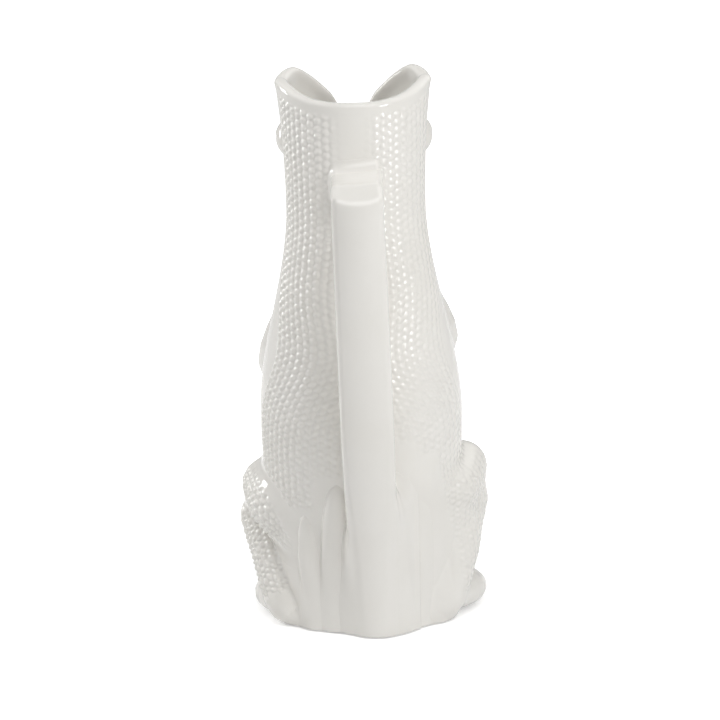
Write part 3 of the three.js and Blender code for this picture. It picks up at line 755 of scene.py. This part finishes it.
def close_middle(piece, columns, rows):
    """Closes the recess under the foot and the floor inside with a fan each."""
    form = bmesh.new()
    form.from_mesh(piece.data)
    form.verts.ensure_lookup_table()
    under, inside = form.verts[columns * rows], form.verts[columns * rows + 1]
    top = columns * (rows - 1)
    for j in range(columns):
        k = (j + 1) % columns
        form.faces.new((under, form.verts[k], form.verts[j])).smooth = True
        form.faces.new((inside, form.verts[top + j], form.verts[top + k])).smooth = True
    form.to_mesh(piece.data)
    form.free()


def beaded(points, faces, tube, low):
    """Beads on a leg, sunk until only their tops stand above its skin. On the right leg they
    lie in columns and rows round the body, as the body's own do."""
    right = points[:, 0].mean() > 0
    if right:
        u, v = np.arctan2(points[:, 1], points[:, 0]) * BELLY_SIDE, points[:, 2]
    else:
        u, v = tube.skin_grid(points)
    columns, rows = LEG_BEAD_COLUMN, LEG_BEAD_ROW
    beads = bead_rise(u + LEG_PLACES * columns, v + LEG_PLACES * rows, columns, rows)
    normals = vertex_normals(points, faces)
    if right:
        edge = RIGHT_LEG_EDGE - RIGHT_LEG_SLANT * points[:, 2]
        mask = ease((points[:, 0] - edge) / LEG_EDGE_FADE)
    else:
        mask = ease((LEG_SKIN - np.abs(tube.distance(points))) / LEG_SKIN_FADE)
    mask *= ease((points[:, 2] - low) / LEG_LOW_FADE)
    mask *= ease((LEG_TOP - normals[:, 2]) / LEG_TOP_FADE)
    mask *= ease((LEG_BEAD_FRONT - points[:, 1]) / LEG_FRONT_FADE)
    rise = RIGHT_BEAD_RISE if right else LEFT_BEAD_RISE
    return points + normals * (rise * (beads - LEG_BEAD_LEVEL) * mask)[:, None]


def hip_fillet(side, p):
    """Wide where the right hip sinks into the back, tight at the flank."""
    if side < 0:
        return LEFT_HIP_FILLET
    return mix(RIGHT_HIP_FILLET, RIGHT_FLANK_FILLET, ease((p[:, 0] - FLANK) / FLANK_FADE))


def knee_fillet(side, p):
    """Wide at the knee, and on the left a clear crease from there down to the heel."""
    if side > 0:
        return RIGHT_KNEE_FILLET
    upper = ease((p[:, 2] - LEFT_KNEE_LOW) / LEFT_KNEE_FADE)
    return mix(LEFT_SHIN_FILLET, LEFT_KNEE_FILLET, upper)


def make_limbs(word, side):
    thigh, shin, foreleg = thigh_tubes(side), shin_tube(side), foreleg_tube(side)
    hand, foot = hand_tubes(side), foot_tubes(side)
    margin = MARGIN if side < 0 else RIGHT_THIGH_MARGIN
    thigh_low = LEFT_THIGH_LOW if side < 0 else RIGHT_THIGH_LOW

    def thigh_distance(p):
        return tubes_distance(thigh, p, FLESH_BLEND)

    def thigh_field(p):
        return fused(thigh_distance(p), p, hip_fillet(side, p))

    def shin_field(p):
        return fused(shin.distance(p), p, knee_fillet(side, p), thigh_distance(p))

    def foreleg_field(p):
        return fused(foreleg.distance(p), p, ARM_FILLET)

    def hand_field(p):
        own = tubes_distance(hand, p, FINGER_BLEND)
        return fused(own, p, HAND_FILLET, foreleg.distance(p))

    def foot_field(p):
        own = tubes_distance(foot, p, TOE_BLEND)
        return fused(own, p, FOOT_FILLET, shin.distance(p))

    def eye_field(p):
        return fused(eye_distance(side, p), p, EYE_FILLET)

    def add_limb(name, node, field):
        add_object(f"{word}_{name}", *mesh_field(f"{word}_{node}", field), f"{word}_{node}")

    points, faces = mesh_field(f"{word}_thigh", thigh_field, margin)
    points = beaded(points, faces, thigh[0], thigh_low)
    add_object(f"{word}_upper_leg", points, faces, f"{word}_thigh")
    points, faces = mesh_field(f"{word}_shin", shin_field)
    points = beaded(points, faces, shin, SHIN_LOW)
    add_object(f"{word}_lower_leg", points, faces, f"{word}_shin")
    add_limb("arm", "foreleg", foreleg_field)
    add_limb("fingers", "hand", hand_field)
    add_limb("foot", "hind_foot", foot_field)
    add_limb("eyeball", "eye", eye_field)


def make_leaves():
    for node, leaf in LEAVES.items():
        points, faces = mesh_field(node, lambda p: leaf_field(leaf, p))
        add_object(node.replace("leaf", "reed"), points, faces, node)


def make_handle():
    def field(p):
        x, _, z = p.T
        right = ease(x / HANDLE_WIDTH + 0.5)
        over_foot = ease((z - mix(*STEM_FOOT_HEIGHTS, right)) / STEM_FOOT_FADE)
        stem = mix(mix(*STEM_FOOT_FILLETS, right), STEM_FILLET, over_foot)
        beside = HANDLE_WIDTH / 2 + NECK_TOP_OVERHANG - np.abs(x)
        on_top = ease((z - HANDLE_TOP + NECK_TOP_DEPTH) / NECK_TOP_FADE)
        on_top *= ease(beside / NECK_TOP_SIDE_FADE)
        neck = mix(mix(*NECK_FILLETS, right), NECK_TOP_FILLET, on_top)
        fillet = mix(stem, neck, ease((z - NECK_HEIGHT) / NECK_FADE))
        return fused(handle_distance(p), p, fillet, soft_leaves(p))

    add_object("stem_handle", *mesh_field("handle", field), "handle")


# Materials
def glaze_material():
    material = bpy.data.materials.new("white_glaze")
    material.use_nodes = True
    nodes, links = material.node_tree.nodes, material.node_tree.links
    shader = nodes["Principled BSDF"]
    shader.inputs["Roughness"].default_value = 0.045
    shader.inputs["IOR"].default_value = 1.52
    place = nodes.new("ShaderNodeTexCoord")
    cloud = nodes.new("ShaderNodeTexNoise")
    cloud.inputs["Scale"].default_value = 22
    cloud.inputs["Detail"].default_value = 4
    tint = nodes.new("ShaderNodeValToRGB")
    tint.color_ramp.elements[0].position = 0.3
    tint.color_ramp.elements[0].color = (0.84, 0.82, 0.773, 1)
    tint.color_ramp.elements[1].position = 0.7
    tint.color_ramp.elements[1].color = (0.87, 0.852, 0.812, 1)
    links.new(place.outputs["Object"], cloud.inputs["Vector"])
    links.new(cloud.outputs["Fac"], tint.inputs["Fac"])
    links.new(tint.outputs["Color"], shader.inputs["Base Color"])
    peel = nodes.new("ShaderNodeTexNoise")
    peel.inputs["Scale"].default_value = 260
    peel.inputs["Detail"].default_value = 2
    bump = nodes.new("ShaderNodeBump")
    bump.inputs["Strength"].default_value = 0.03
    bump.inputs["Distance"].default_value = 0.001
    links.new(place.outputs["Object"], peel.inputs["Vector"])
    links.new(peel.outputs["Fac"], bump.inputs["Height"])
    links.new(bump.outputs["Normal"], shader.inputs["Normal"])
    return material


# Floor, light and camera
def make_floor():
    """A pale floor that shows the pitcher's shadow, and runs out to white in the distance."""
    bpy.ops.mesh.primitive_plane_add(size=FLOOR_SIZE, location=(0, 0, -FLOOR_DROP))
    floor = bpy.context.object
    floor.name = "studio_floor"
    material = bpy.data.materials.new("studio_floor")
    material.use_nodes = True
    nodes, links = material.node_tree.nodes, material.node_tree.links
    shader = nodes["Principled BSDF"]
    shader.inputs["Base Color"].default_value = (0.92, 0.92, 0.92, 1)
    shader.inputs["Roughness"].default_value = 0.9
    shader.inputs["Specular IOR Level"].default_value = 0.1
    place = nodes.new("ShaderNodeTexCoord")
    away = nodes.new("ShaderNodeVectorMath")
    away.operation = "LENGTH"
    glow = nodes.new("ShaderNodeMapRange")
    glow.inputs["From Min"].default_value = 0.1
    glow.inputs["From Max"].default_value = 0.6
    glow.inputs["To Min"].default_value = 0.4
    path = nodes.new("ShaderNodeLightPath")
    links.new(place.outputs["Object"], away.inputs[0])
    links.new(away.outputs["Value"], glow.inputs["Value"])
    links.new(glow.outputs["Result"], shader.inputs["Emission Color"])
    seen = nodes.new("ShaderNodeMath")
    seen.operation = "MULTIPLY_ADD"
    seen.inputs[1].default_value = MIRRORED_WHITE
    links.new(path.outputs["Is Glossy Ray"], seen.inputs[0])
    links.new(path.outputs["Is Camera Ray"], seen.inputs[2])
    links.new(seen.outputs["Value"], shader.inputs["Emission Strength"])
    floor.data.materials.append(material)


def add_softbox(name, azimuth, distance, height, size, radiance, aim_height):
    """A rectangular light. Azimuth is from the camera's side towards the right, in degrees."""
    turn = math.radians(azimuth)
    width, tall = size
    lamp = bpy.data.lights.new(name, "AREA")
    lamp.shape = "RECTANGLE"
    lamp.size, lamp.size_y = width, tall
    lamp.energy = radiance * math.pi * width * tall
    box = bpy.data.objects.new(name, lamp)
    box.location = (math.sin(turn) * distance, -math.cos(turn) * distance, height)
    aim = Vector((0, 0, aim_height)) - box.location
    box.rotation_euler = aim.to_track_quat("-Z", "Y").to_euler()
    bpy.context.scene.collection.objects.link(box)


def make_lights():
    add_softbox(
        "right_lamp", azimuth=47, distance=0.5, height=0.36,
        size=(0.12, 0.16), radiance=11, aim_height=0.2,
    )
    add_softbox(
        "left_strip", azimuth=-110, distance=0.6, height=0.42,
        size=(0.12, 0.34), radiance=11, aim_height=0.18,
    )
    add_softbox(
        "top_softbox", azimuth=8, distance=0.6, height=1.1,
        size=(0.9, 0.7), radiance=2.35, aim_height=0.15,
    )
    add_softbox(
        "left_softbox", azimuth=-115, distance=0.7, height=1.0,
        size=(0.9, 0.9), radiance=0.8, aim_height=0.28,
    )
    add_softbox(
        "right_softbox", azimuth=125, distance=0.7, height=1.0,
        size=(0.9, 0.9), radiance=0.9, aim_height=0.28,
    )


def make_world():
    """White to the camera and to mirrored rays that look past the pitcher, else a dim room."""
    world = bpy.data.worlds.new("studio")
    bpy.context.scene.world = world
    world.use_nodes = True
    nodes, links = world.node_tree.nodes, world.node_tree.links
    room = nodes["Background"]
    place = nodes.new("ShaderNodeTexCoord")
    across = nodes.new("ShaderNodeVectorMath")
    across.operation = "DOT_PRODUCT"
    across.inputs[1].default_value = CAMERA_SIDE
    towards = nodes.new("ShaderNodeVectorMath")
    towards.operation = "DOT_PRODUCT"
    towards.inputs[1].default_value = BRIGHT_SIDE
    depth = nodes.new("ShaderNodeMapRange")
    depth.inputs["From Min"].default_value = -1
    tone = nodes.new("ShaderNodeValToRGB")
    tone.color_ramp.elements[0].color = (0.03, 0.03, 0.03, 1)
    tone.color_ramp.elements[1].color = (0.44, 0.44, 0.44, 1)
    links.new(place.outputs["Generated"], across.inputs[0])
    links.new(place.outputs["Generated"], towards.inputs[0])
    links.new(towards.outputs["Value"], depth.inputs["Value"])
    links.new(depth.outputs["Result"], tone.inputs["Fac"])
    links.new(tone.outputs["Color"], room.inputs["Color"])
    white = nodes.new("ShaderNodeBackground")
    white.inputs["Color"].default_value = (1, 1, 1, 1)
    path = nodes.new("ShaderNodeLightPath")
    past = nodes.new("ShaderNodeMapRange")
    past.inputs["From Min"].default_value = -0.4
    past.inputs["From Max"].default_value = -0.9
    past.inputs["To Max"].default_value = MIRRORED_WHITE
    mirrored = nodes.new("ShaderNodeMath")
    mirrored.operation = "MULTIPLY"
    seen = nodes.new("ShaderNodeMath")
    seen.operation = "MAXIMUM"
    links.new(across.outputs["Value"], past.inputs["Value"])
    links.new(past.outputs["Result"], mirrored.inputs[0])
    links.new(path.outputs["Is Glossy Ray"], mirrored.inputs[1])
    links.new(path.outputs["Is Camera Ray"], seen.inputs[0])
    links.new(mirrored.outputs["Value"], seen.inputs[1])
    choose = nodes.new("ShaderNodeMixShader")
    links.new(seen.outputs["Value"], choose.inputs["Fac"])
    links.new(room.outputs["Background"], choose.inputs[1])
    links.new(white.outputs["Background"], choose.inputs[2])
    links.new(choose.outputs["Shader"], nodes["World Output"].inputs["Surface"])


def make_camera():
    data = bpy.data.cameras.new("camera")
    data.sensor_width = 36
    data.lens = FOCAL_PIXELS / FRAME_PIXELS * data.sensor_width
    data.shift_x = AIM_LEFT / FRAME_PIXELS
    data.shift_y = -AIM_UP / FRAME_PIXELS
    camera = bpy.data.objects.new("camera", data)
    back = Vector((0, -math.cos(CAMERA_RISE), math.sin(CAMERA_RISE))) * CAMERA_DISTANCE
    camera.location = Vector(AXIS * MM) + Vector((0, 0, AIM_HEIGHT)) + back
    level = (-back).to_track_quat("-Z", "Y").to_matrix()
    camera.rotation_euler = (level @ Matrix.Rotation(-CAMERA_ROLL, 3, "Z")).to_euler()
    bpy.context.scene.collection.objects.link(camera)
    bpy.context.scene.camera = camera


glaze = glaze_material()
make_body()
make_limbs("right", 1)
make_limbs("left", -1)
make_leaves()
make_handle()
make_floor()
make_lights()
make_world()
make_camera()
bpy.context.scene.view_settings.view_transform = "Standard"
